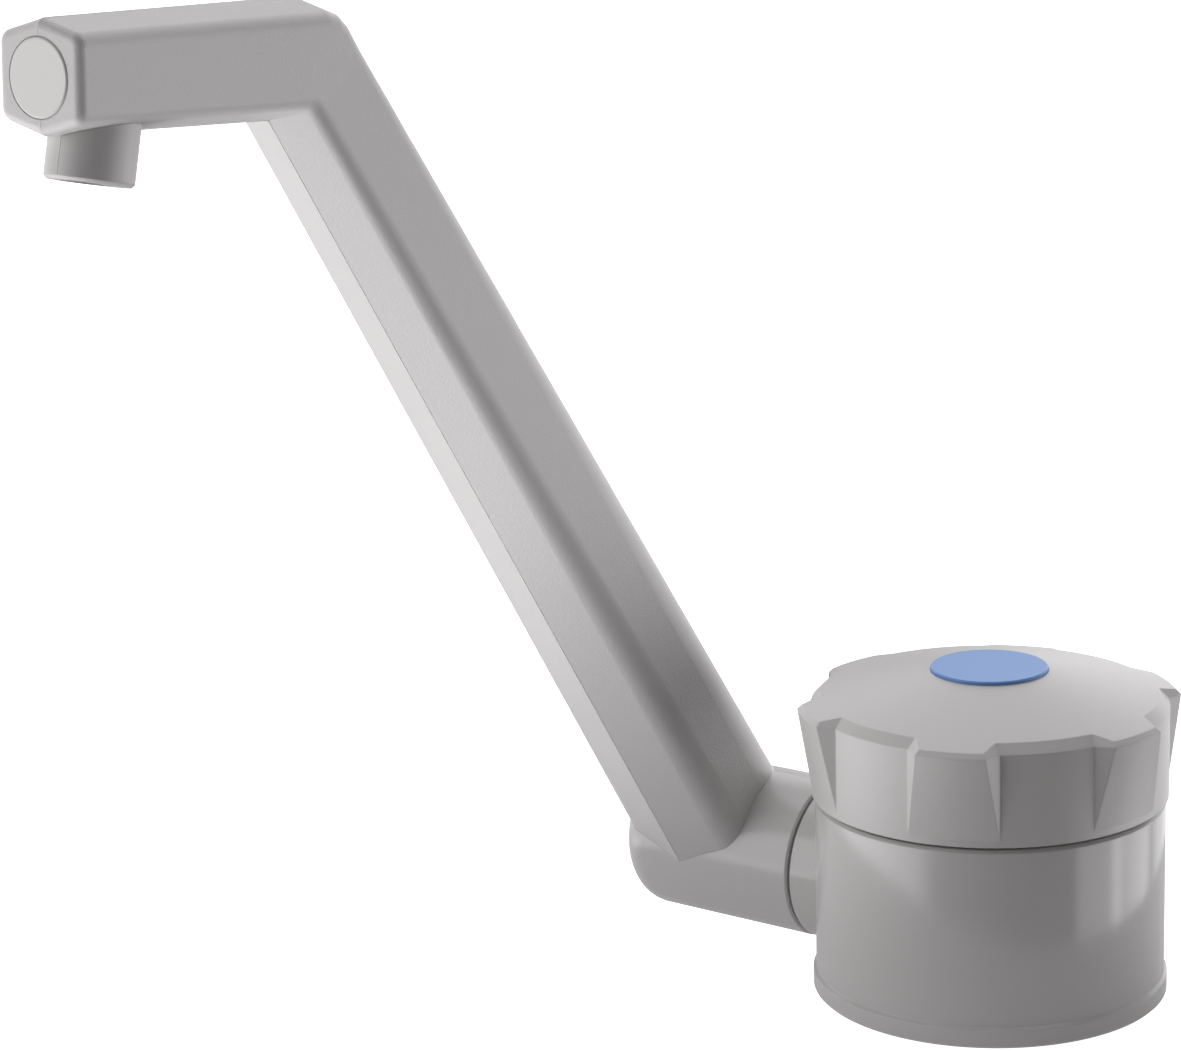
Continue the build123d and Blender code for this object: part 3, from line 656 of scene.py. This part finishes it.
def makeSeamBead():
    # thin, slightly uneven bead swept along the lines it is given
    tree, start, end = newGrowth("seamBead", ("Step", "Radius", "Ripple", "Seed"))
    links = tree.links
    path = addNode(tree, "GeometryNodeMeshToCurve")
    even = addNode(tree, "GeometryNodeResampleCurve", mode="LENGTH")
    where = addNode(tree, "GeometryNodeInputPosition")
    wander = addNode(tree, "ShaderNodeTexNoise", noise_dimensions="4D", Scale=seam["waver"])
    centred = addNode(tree, "ShaderNodeMath", operation="SUBTRACT")
    centred.inputs[1].default_value = 0.5
    swell = addNode(tree, "ShaderNodeMath", operation="MULTIPLY_ADD")
    swell.inputs[2].default_value = 1.0
    ring = addNode(tree, "GeometryNodeCurvePrimitiveCircle", Resolution=seam["sides"])
    sweep = addNode(tree, "GeometryNodeCurveToMesh", Fill_Caps=True)
    smooth = addNode(tree, "GeometryNodeSetShadeSmooth")
    links.new(start.outputs["Geometry"], path.inputs["Mesh"])
    links.new(path.outputs["Curve"], even.inputs["Curve"])
    links.new(start.outputs["Step"], even.inputs["Length"])
    links.new(where.outputs["Position"], wander.inputs["Vector"])
    links.new(start.outputs["Seed"], wander.inputs["W"])
    links.new(wander.outputs["Fac"], centred.inputs[0])
    links.new(centred.outputs[0], swell.inputs[0])
    links.new(start.outputs["Ripple"], swell.inputs[1])
    links.new(start.outputs["Radius"], ring.inputs["Radius"])
    links.new(even.outputs["Curve"], sweep.inputs["Curve"])
    links.new(ring.outputs["Curve"], sweep.inputs["Profile Curve"])
    links.new(swell.outputs[0], sweep.inputs["Scale"])
    links.new(sweep.outputs["Mesh"], smooth.inputs["Geometry"])
    endGrowth(tree, smooth.outputs["Geometry"], start, end)
    return tree


ridgeMesh = {"stepsPerTurn": 40, "sides": 3}


def makeCutThread():
    # ridge of a screw thread round each point it is given
    tree, start, end = newGrowth("cutThread", ("Turns", "Radius", "Depth", "Ridge"))
    links = tree.links
    helix = addNode(tree, "GeometryNodeCurveSpiral", Resolution=ridgeMesh["stepsPerTurn"])
    ring = addNode(tree, "GeometryNodeCurvePrimitiveCircle", Resolution=ridgeMesh["sides"])
    sweep = addNode(tree, "GeometryNodeCurveToMesh", Fill_Caps=True)
    each = addNode(tree, "GeometryNodeInstanceOnPoints")
    links.new(start.outputs["Turns"], helix.inputs["Rotations"])
    links.new(start.outputs["Radius"], helix.inputs["Start Radius"])
    links.new(start.outputs["Radius"], helix.inputs["End Radius"])
    links.new(start.outputs["Depth"], helix.inputs["Height"])
    links.new(start.outputs["Ridge"], ring.inputs["Radius"])
    links.new(helix.outputs["Curve"], sweep.inputs["Curve"])
    links.new(ring.outputs["Curve"], sweep.inputs["Profile Curve"])
    links.new(start.outputs["Geometry"], each.inputs["Points"])
    links.new(sweep.outputs["Mesh"], each.inputs["Instance"])
    endGrowth(tree, each.outputs["Instances"], start, end)
    return tree


def growMesh(name, mesh, tree, **values):
    # runs a node tree on a mesh and keeps the result as one plain mesh
    obj = placeObject(name, mesh)
    grow = obj.modifiers.new(name, "NODES")
    grow.node_group = tree
    sockets = {s.name: s.identifier for s in tree.interface.items_tree if s.in_out == "INPUT"}
    for label, value in values.items():
        grow[sockets[label]] = value
    shown = obj.evaluated_get(bpy.context.evaluated_depsgraph_get())
    grown = bpy.data.meshes.new_from_object(shown)
    obj.modifiers.remove(grow)
    obj.data = grown
    return obj


def addSeam(name, runs, mat, body):
    points = [point for run in runs for point in run]
    lines = []
    first = 0
    for run in runs:
        lines += [(first + i, first + i + 1) for i in range(len(run) - 1)]
        first += len(run)
    mesh = bpy.data.meshes.new(name)
    mesh.from_pydata(points, lines, [])
    bead = growMesh(
        name, mesh, seamBead, Step=seam["step"], Radius=seam["radius"], Ripple=seam["ripple"],
        Seed=seam["seed"], Material=mat,
    )
    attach(bead, body)


seamBead = makeSeamBead()
addSeam("armSeam", armSeams(), made["seamHighlightPlastic"], "arm")
addSeam("nozzleSeam", nozzleSeams(), made["seamHighlightPlastic"], "arm")
print("parting lines added")


def addThread(name, cut):
    mesh = bpy.data.meshes.new(name)
    mesh.from_pydata([(0, row, cut["foot"]) for row in cut["rows"]], [], [])
    thread = growMesh(
        name, mesh, cutThread, Turns=cut["turns"], Radius=cut["radius"], Depth=cut["depth"],
        Ridge=cut["ridge"], Material=made["uprightBrass"],
    )
    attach(thread, "base")


cutThread = makeCutThread()
# each thread's sizes, the height it starts at, and the places of its holes along Y
inlet = {"radius": 0.0045, "depth": 0.0070, "turns": 7.0, "ridge": 0.00022, "foot": 0.0007, "rows": (0,)}
stud = {
    "radius": 0.0021,
    "depth": 0.0072,
    "turns": 9.0,
    "ridge": 0.00016,
    "foot": 0.0006,
    "rows": (-0.0105, 0.0105),
}
addThread("inletThread", inlet)
addThread("studThreads", stud)
print("threads cut")
